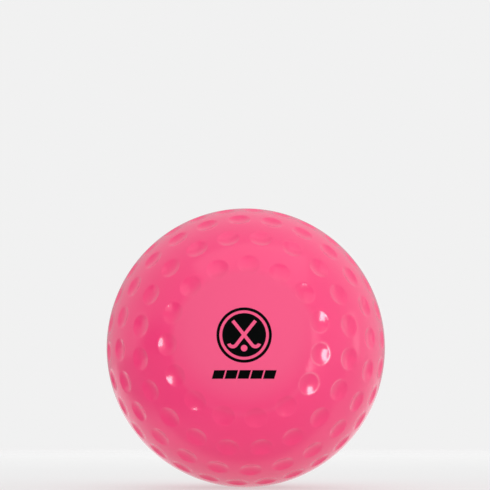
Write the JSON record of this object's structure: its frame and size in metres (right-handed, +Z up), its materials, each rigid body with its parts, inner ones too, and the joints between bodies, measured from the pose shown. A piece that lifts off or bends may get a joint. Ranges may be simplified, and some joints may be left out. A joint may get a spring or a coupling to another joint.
{
  "type": "hockey ball",
  "caption": "Glossy pink dimpled outdoor hockey ball with a moulded cover over a quilted cork and yarn centre, and a printed roundel on its smooth cap.",
  "frame": {"origin": "centre of the ball", "axes": "+Y along the mould's axis, from the printed front pole at -Y to the blank rear pole; the cover's halves meet on the XZ plane; +Z up, with the print upright"},
  "size_m": [0.073, 0.073, 0.073],
  "materials": {
    "cover": "gloss",
    "ink": "satin print",
    "pill": "cork granules in rubber",
    "cork": "moulded cork",
    "yarn": "wound yarn"
  },
  "bodies": {
    "root": {"centre_pill": "pill", "inner_winding": "yarn", "inner_cork_cup_top": "cork", "inner_cork_cup_bottom": "cork", "middle_winding": "yarn", "outer_cork_cup_front": "cork", "outer_cork_cup_rear": "cork", "outer_winding": "yarn", "front_cover": "cover", "rear_cover": "cover", "emblem_ring": "ink", "emblem_disc": "ink", "emblem_dashes": "ink"}
  },
  "joints": []
}
